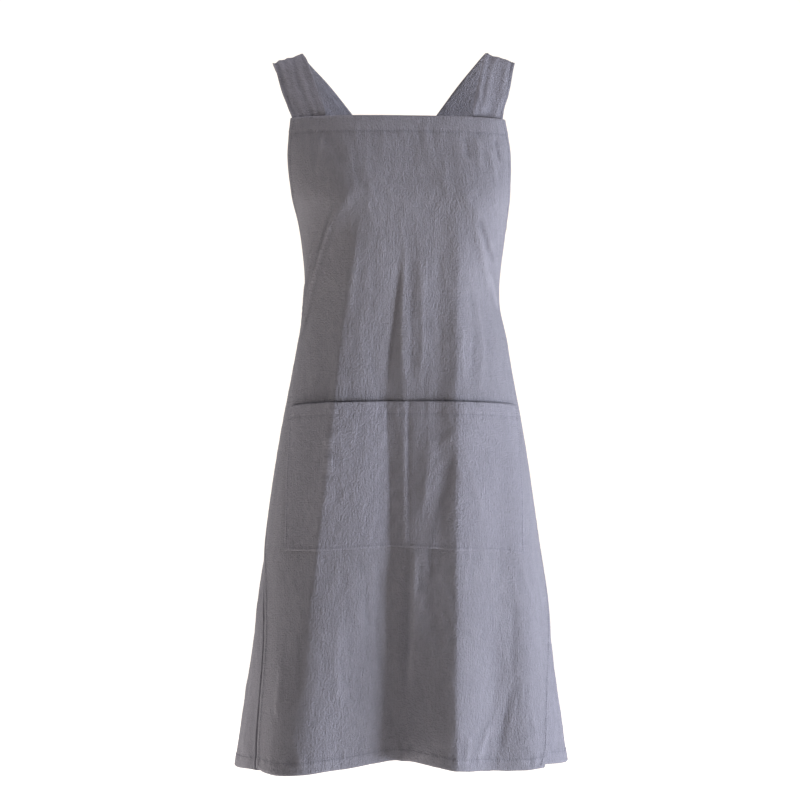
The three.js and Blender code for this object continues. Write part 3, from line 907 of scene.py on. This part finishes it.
def back_panel(name, side, hem_shift, seed):
    """One back panel: its cloth, and its stitch lines."""
    columns = LAP_COLUMNS + FINE_COLUMNS + WIDE_COLUMNS
    at = np.arange(columns)[None, :]
    hidden = np.clip(at / (LAP_COLUMNS - 1), 0, 1)
    fine = np.clip(at - LAP_COLUMNS + 1, 0, FINE_COLUMNS)
    rest = np.clip((at - LAP_COLUMNS - FINE_COLUMNS + 1) / WIDE_COLUMNS, 0, 1)
    t = 0.08 * hidden + 0.04 * fine / FINE_COLUMNS + 0.88 * rest
    v = np.linspace(0, 1, PANEL_ROWS)[:, None]
    top = mix(ARMHOLE_DROP, BACK_DROP, ease(0.15, 0.9, t))
    hem_line = APRON_LENGTH + mix(hem_shift[0], hem_shift[1], ease(0, 0.3, t))
    drop = mix(top, hem_line, v)
    down = drop / APRON_LENGTH
    start = cloth_to(seam_turn(side, down), down) - lap_at(down)
    stop = cloth_to(180, down) - BACK_OPENING / 2
    shown = start + lap_at(down)
    length = start + lap_at(down) * hidden + fine * FINE_STEP
    length = length + rest * (stop - shown - FINE_COLUMNS * FINE_STEP)
    turn = side * turn_at(length, down)
    if side < 0:
        turn, length, drop, down, start, stop, top, hem_line = (
            np.broadcast_to(a, drop.shape)[:, ::-1]
            for a in (turn, length, drop, down, start, stop, top, hem_line)
        )
    form = face(turn, down)
    under = lap_at(down) - (length - start)
    open_air = ease(-25, 8, -under)
    high = drop - top
    low = hem_line - drop
    free = stop - length
    calm = ease(4, 40, high) * (1 - 0.6 * ease(-30, 0, -low)) * mix(0.3, 1, ease(0, 30, free))
    detail = crinkle(length, drop, seed, soft=1.1, sharp=0.9) * calm * mix(0.12, 1, open_air)
    detail = detail + hem_relief(high, BIB_HEM, length, seed + 31, 0.3)
    detail = detail + hem_relief(low, HEM_TURN_UP, length, seed + 32, 0.42)
    detail = detail + hem_relief(free, FREE_HEM, drop, seed + 33, 0.35)
    vent = vent_share(drop) * (1.0 if side < 0 else 0.3)
    fuller = vent * 3.0 * ease(2.2, 4.8, -under) * (1 - ease(20, 60, -under))
    groove = vent * 5.0 * ease(-4.2, -2.0, under) * (1 - ease(1, 8, under))
    points = form + grid_normals(form) * (detail + fuller - groove - LAYER_GAP)[..., None]
    wall = np.maximum(
        hem_wall(high, BIB_HEM, CLOTH, FOLDED),
        np.maximum(hem_wall(low, HEM_TURN_UP, CLOTH, FOLDED), hem_wall(free, FREE_HEM, CLOTH, FOLDED)),
    )
    cloth = cloth_wall(name, points, wall, np.stack([side * length, -drop], -1), detail)
    cloth.data.materials.append(linen_panel)
    tall = APRON_LENGTH - (ARMHOLE_DROP + BACK_DROP) / 2
    across = np.linspace(0.02, 0.98, 240)
    downward = np.linspace(0.01, 0.99, 500)
    wide = np.linspace((stop - start)[0].mean(), (stop - start)[-1].mean(), 500)
    last = WIDE_COLUMNS * (FREE_HEM - 0.5) / (wide - NARROW_PART) / (columns - 1)
    free_edge = 1 - last if side > 0 else last
    lines = [
        on_grid(points, across, BIB_HEM / tall),
        on_grid(points, across, 1 - HEM_TURN_UP / tall),
        on_grid(points, free_edge, downward),
    ]
    print(name, "cloth width at the hem, mm:", round(float((stop - start)[-1].mean())))
    return cloth, lines


left_back, left_lines = back_panel("left_back_cloth", -1, (-9, -6), 211)
right_back, right_lines = back_panel("right_back_cloth", 1, (-8, -8), 241)
panel_stitches = stitches("panel_stitches", left_lines + right_lines)

# %% [markdown]
# The pocket
#
# One wide patch, hemmed along its mouth and sewn to the skirt along its sides, its bottom and down its
# middle. The sewn lines lie flat on the skirt, and between them the pocket stands off a few millimetres,
# most at the mouth. It takes the skirt's folds with it, and has its own slanting creases from use.

# %% Pocket form
POCKET_ROWS, POCKET_COLUMNS = 104, 165
POCKET_HEM = 17
POCKET_STAND = 5.0
SEWN_EDGE = 3

s = np.linspace(-1, 1, POCKET_COLUMNS)[None, :]
v = np.linspace(0, 1, POCKET_ROWS)[:, None]
mouth_line = POCKET_DROP + np.where(s < 0, 3.6, 2.4) * s**2
bottom_line = POCKET_BOTTOM + np.where(s < 0, -4.0, 3.0) * s**2
drop = mix(mouth_line, bottom_line, v)
down = drop / APRON_LENGTH
x = s * pocket_half(down)
turn = np.sign(x) * turn_at(np.abs(x), down)
form = face(turn, down)
sides = pocket_half(down) - np.abs(x)
bottom = bottom_line - drop
mouth = drop - mouth_line
inside = inside_pocket(x, drop)

stand = POCKET_STAND * ease(0, 0.55, bottom / POCKET_HEIGHT) ** 0.8
stand = stand * np.clip(np.sin(math.pi * np.abs(s)), 0, 1) ** 0.6
own = crinkle(x, drop, 301, soft=0.6, sharp=0.75, tall=1.9, slant=0.15) * mix(1, 0.4, ease(60, 100, x))
own = own + drawn(x, drop, POCKET_CREASES)
beside_seam = ease(0, 10, np.abs(x))
shared = front_detail(x, drop, half_cloth(-1, down) + x, half_cloth(1, down) - x)
detail = shared * (1 - inside) + own * inside * mix(0.5, 1, beside_seam)
detail = detail + hem_relief(mouth, POCKET_HEM, x, 71, 0.3)
detail = detail + 0.4 * hem_relief(bottom, SEWN_EDGE, x, 72, 0.3)
detail = detail + 0.8 * hem_relief(sides, SEWN_EDGE, drop, 73, 0.3)
detail = detail - 0.35 * bump(x - 2, 1.6) + 0.32 * bump(x + 4, 2.6)
lift = np.maximum(detail, -0.6 - stand * 0.5) + stand + mix(1.2, 1.5, ease(0, 12, bottom))
pocket_points = form + grid_normals(form) * lift[..., None]
wall = hem_wall(mouth, POCKET_HEM, 0.9, 1.3)
pocket_cloth = cloth_wall("pocket_cloth", pocket_points, wall, np.stack([x, -drop], -1), detail)
pocket_cloth.data.materials.append(linen_pocket)

# %% Pocket stitches
full = np.linspace(0.012, 0.988, 300)
pocket_lines = [
    on_grid(pocket_points, full, POCKET_HEM / POCKET_HEIGHT),
    on_grid(pocket_points, full, 1 - SEWN_EDGE / POCKET_HEIGHT),
    on_grid(pocket_points, SEWN_EDGE / POCKET_WIDTH, full),
    on_grid(pocket_points, 1 - SEWN_EDGE / POCKET_WIDTH, full),
    on_grid(pocket_points, 0.5, full),
]
pocket_stitches = stitches("pocket_stitches", pocket_lines)

# %% [markdown]
# The straps
#
# Each strap is a long strip folded into a flat band 48 mm wide. It is sewn in behind the bib's hem, runs up
# over the shoulder, crosses the other strap behind, and is sewn in behind the far back panel's top hem. Its
# two long edges are curves through a few points, and the band is stretched between them, with soft creases
# along it and a row of stitches near each edge.

# %% Strap runs
# across: share of the strap spread. through: share of the hem's back depth, behind the shoulder tops. bib and
# back: how far down, as shares of the bib's and the back's drop. cross: 1 where the straps cross.
INNER_RUN = [
    (0.872, -0.360, 0.515, 0, 0),
    (0.962, -0.147, 0.119, 0, 0),
    (1.000, 0.013, 0, 0, 0),
    (0.939, 0.193, 0, 0.025, 0),
    (0.705, 0.387, 0, 0.124, 0),
    (0.379, 0.533, 0, 0.289, 1),
    (0.000, 0.580, 0, 0.481, 1),
    (-0.530, 0.593, 0, 0.745, 1),
]
OUTER_RUN = [
    (1.152, -0.360, 0.851, 0, 0),
    (1.227, -0.227, 0.564, 0, 0),
    (1.288, -0.093, 0.238, 0, 0),
    (1.318, 0.053, 0.119, 0, 0),
    (1.258, 0.233, 0, 0.081, 0),
    (0.987, 0.420, 0, 0.218, 0),
    (0.661, 0.547, 0, 0.382, 1),
    (0.283, 0.580, 0, 0.575, 1),
    (-0.248, 0.593, 0, 0.839, 1),
]
INNER_END = [(129, 0.888), (125, 0.929), (121, 0.966)]
OUTER_END = [(152, 0.988), (147, 1.028), (143, 1.065)]
STRAP_WALL = 1.7
STRAP_EDGE = 3.2
STRAP_ROWS, STRAP_COLUMNS = 300, 25
STRAP_FLARE = 11
RIGHT_STRAP_RISE = 4


def curve_through(points, count):
    """Points along a smooth curve through the given ones, spaced evenly from point to point."""
    points = np.asarray(points, float)
    first, last = 2 * points[0] - points[1], 2 * points[-1] - points[-2]
    p = np.concatenate([[first], points, [last]])
    found = []
    for f in np.linspace(0, len(points) - 1, count):
        i = min(int(f), len(points) - 2)
        w = f - i
        p0, p1, p2, p3 = p[i : i + 4]
        d0, d1, d2 = (math.dist(a, b) ** 0.5 for a, b in ((p0, p1), (p1, p2), (p2, p3)))
        t1 = ((p1 - p0) / d0 - (p2 - p0) / (d0 + d1) + (p2 - p1) / d1) * d1
        t2 = ((p2 - p1) / d1 - (p3 - p1) / (d1 + d2) + (p3 - p2) / d2) * d1
        a = 2 * p1 - 2 * p2 + t1 + t2
        b = -3 * p1 + 3 * p2 - 2 * t1 - t2
        found.append(a * w**3 + b * w**2 + t1 * w + p1)
    return np.array(found)


def strap(name, side, over, seed):
    """One strap, and its stitch lines."""
    bib = BIB_DROP / APRON_LENGTH
    seam = float(section("seam", bib))
    inside = float(turn_at(cloth_to(seam, bib) - STRAP_WIDTH - STRAP_FLARE, bib))

    def tucked(turn, drop):
        return place(np.float64(side * turn), np.float64(drop / APRON_LENGTH), -LAYER_GAP)

    def run(row):
        across, through, by_bib, by_back, cross = row
        aside = LEAN * (1 - 0.5 * ease(0.15, 0.55, through))
        apart = cross * (CROSS_GAP if over else -CROSS_GAP)
        drop = by_bib * BIB_DROP + by_back * BACK_DROP
        if side > 0:
            drop = drop - RIGHT_STRAP_RISE * (1 - ease(0.3, 0.6, by_bib)) * (1 - ease(0, 0.3, by_back))
        return (side * across * STRAP_SPREAD - aside, through * HEM_BACK_DEPTH + apart, -drop)

    def end(row):
        turn, by_back = row
        share = np.float64(by_back * BACK_DROP / APRON_LENGTH)
        return place(np.float64(-side * turn), share, -LAYER_GAP - 3.3)

    near = [BIB_DROP + STRAP_TUCK, BIB_DROP + STRAP_TUCK / 2, BIB_DROP]
    inner = [tucked(inside, d) for d in near] + [tucked(inside, BIB_DROP - STRAP_WIDTH / 6)]
    inner += [run(r) for r in INNER_RUN] + [end(r) for r in INNER_END]
    outer = [tucked(seam, d) for d in near] + [run(r) for r in OUTER_RUN] + [end(r) for r in OUTER_END]
    a, b = curve_through(inner, STRAP_ROWS), curve_through(outer, STRAP_ROWS)
    w = np.linspace(0, 1, STRAP_COLUMNS)[None, :]
    f = np.linspace(0, 1, STRAP_ROWS)[:, None]
    middle = (a + b) / 2
    gone = np.concatenate([[0], np.cumsum(np.linalg.norm(np.diff(middle, axis=0), axis=1))])[:, None]
    flat = a[:, None, :] + (b - a)[:, None, :] * w[..., None]
    if side > 0:
        flat = flat[:, ::-1]
        w = w[:, ::-1]
    free = ease(0.03, 0.2, f) * (1 - ease(0.74, 0.86, f))
    crown = 0.4 * 4 * w * (1 - w) * free
    drift = 0.6 * field(gone / 90, 0 * w, seed)
    creases = (2.0 - 0.6 * side) * field((w - 0.5) * 5.5 + drift, gone / 130 + 0 * w, seed + 1)
    creases = creases + 0.6 * ridges(w * 5 + gone / 160, gone / 70 + 0 * w, seed + 2, 2.4)
    creases = creases + 0.22 * field(w * 48 / 7, gone / 15 + 0 * w, seed + 3)
    held = mix(0.25, 1, free) * mix(1, 0.4, ease(0.42, 0.52, f) * (1 - ease(0.8, 0.9, f)))
    edge = np.minimum(w, 1 - w) * STRAP_WIDTH
    detail = crown + creases * held + 0.5 * hem_relief(edge, STRAP_EDGE, gone + 0 * w, seed + 4, 0.2)
    points = flat + grid_normals(flat) * detail[..., None]
    uv = np.stack([(w - 0.5) * STRAP_WIDTH + 0 * gone, -(gone + 0 * w)], -1)
    band = cloth_wall(name, points, STRAP_WALL, uv, detail - crown)
    band.data.materials.append(linen_strap)
    long = np.linspace(0.07, 0.94, 700)
    share = STRAP_EDGE / STRAP_WIDTH
    lines = [on_grid(points, share, long), on_grid(points, 1 - share, long)]
    print(name, "length, mm:", round(float(gone[-1, 0])))
    return band, lines, float(gone[-1, 0])


left_strap, left_strap_lines, left_length = strap("left_strap_cloth", -1, False, 401)
right_strap, right_strap_lines, right_length = strap("right_strap_cloth", 1, True, 431)
strap_stitches = stitches("strap_stitches", left_strap_lines + right_strap_lines)

# %% [markdown]
# What each piece is
#
# Each piece and each row of stitches is hung on the frame's root, and the frame's solid that each cloth piece
# stands for is hidden, so only the cloth shows.

everything = [
    (front_cloth, "front_panel", "front_linen"),
    (left_back, "back_panel_left", "left_panel_linen"),
    (right_back, "back_panel_right", "right_panel_linen"),
    (pocket_cloth, "pocket", "pocket_linen"),
    (left_strap, "strap_left", "left_strap_linen"),
    (right_strap, "strap_right", "right_strap_linen"),
]
for piece, node_name, slot_name in everything:
    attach(piece, "root")
    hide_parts(node_name)
for piece, slot_name in (
    (front_stitches, "front_linen"),
    (panel_stitches, "left_panel_linen"),
    (pocket_stitches, "pocket_linen"),
    (strap_stitches, "left_strap_linen"),
):
    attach(piece, "root")

# %% [markdown]
# Floor, light and camera
#
# The photo is a studio one: white all round, a broad soft light from the right and slightly in front, a
# weaker one from above, and faint ones from behind and low on the left. The floor is a pale plane well below
# the hem, since the apron hangs at the height it is worn at. It glows like the white studio, but less near
# the apron, so that the shaded sides stay dark.

# %% Floor and surround
bpy.context.scene.view_settings.view_transform = "Standard"
FLOOR_DROP = 1.45
FLOOR_HALF = 14
FILL_TINT = (1.0, 0.94, 0.88)
WHITE_GLOW, SHADE_GLOW, FILL_GLOW = 1.15, 0.6, 0.06
SHADE_AT = (-0.5, -0.65, -FLOOR_DROP)
SHADE_NEAR, SHADE_FAR = 0.85, 2.6
floor_mesh = bpy.data.meshes.new("floor")
corners = [(a * FLOOR_HALF, b * FLOOR_HALF, -FLOOR_DROP) for a, b in ((-1, -1), (1, -1), (1, 1), (-1, 1))]
floor_mesh.from_pydata(corners, [], [(0, 1, 2, 3)])
floor = into_scene("floor", floor_mesh)
pale = bpy.data.materials.new("pale_floor")
pale.use_nodes = True
paint = pale.node_tree.nodes["Principled BSDF"]
paint.inputs["Base Color"].default_value = (*linear("#c8c8c8"), 1)
paint.inputs["Roughness"].default_value = 0.9
paint.inputs["Emission Color"].default_value = (*FILL_TINT, 1)
spot = add(pale.node_tree, "ShaderNodeNewGeometry").outputs["Position"]
reach = add(pale.node_tree, "ShaderNodeVectorMath", {"operation": "DISTANCE"})
pale.node_tree.links.new(spot, reach.inputs[0])
reach.inputs[1].default_value = SHADE_AT
glow = add(
    pale.node_tree, "ShaderNodeMapRange", Value=reach.outputs["Value"],
    From_Min=SHADE_NEAR, From_Max=SHADE_FAR, To_Min=SHADE_GLOW, To_Max=WHITE_GLOW,
)
pale.node_tree.links.new(glow.outputs[0], paint.inputs["Emission Strength"])
floor_mesh.materials.append(pale)

world = bpy.data.worlds.new("studio")
bpy.context.scene.world = world
world.use_nodes = True
surround = world.node_tree.nodes["Background"]
seen = add(world.node_tree, "ShaderNodeLightPath")
level = add(
    world.node_tree, "ShaderNodeMapRange", Value=seen.outputs["Is Camera Ray"],
    To_Min=FILL_GLOW, To_Max=WHITE_GLOW,
)
world.node_tree.links.new(level.outputs[0], surround.inputs["Strength"])
surround.inputs["Color"].default_value = (*FILL_TINT, 1)

# %% Lights and camera
def soft_light(name, place_at, aim, size, power, colour):
    """A rectangular light that points at a place."""
    data = bpy.data.lights.new(name, "AREA")
    data.shape = "RECTANGLE"
    data.size, data.size_y = size
    data.energy = power
    data.color = linear(colour)
    lamp = into_scene(name, data)
    lamp.location = place_at
    lamp.rotation_euler = (Vector(aim) - Vector(place_at)).to_track_quat("-Z", "Y").to_euler()


soft_light("window", (2.2, -0.75, -0.95), (0, 0, -0.6), (0.9, 1.1), 80, "#e5edff")
soft_light("ceiling", (-0.2, -0.1, 1.9), (0, 0, -0.1), (1.0, 1.0), 33, "#f6f4fc")
soft_light("back_window", (-1.3, 3.0, -0.3), (0, 0, -0.6), (2.0, 2.0), 20, "#f6f4f6")
soft_light("low_left", (-0.8, 0.22, -1.3), (-0.22, 0, -0.93), (0.35, 0.4), 4.0, "#fbf6f2")

CAMERA_AWAY = 3.2
CAMERA_TURN = math.radians(-4)
CAMERA_DROP = 0.496
CAMERA_ASIDE = 0.0029
LENS_MM = 100.1
camera = into_scene("camera", bpy.data.cameras.new("camera"))
camera.data.lens = LENS_MM
camera.data.sensor_width = 36
camera.location = (
    CAMERA_AWAY * math.sin(CAMERA_TURN) - CAMERA_ASIDE,
    -CAMERA_AWAY * math.cos(CAMERA_TURN),
    -CAMERA_DROP,
)
camera.rotation_euler = (math.radians(90), 0, CAMERA_TURN)
bpy.context.scene.camera = camera
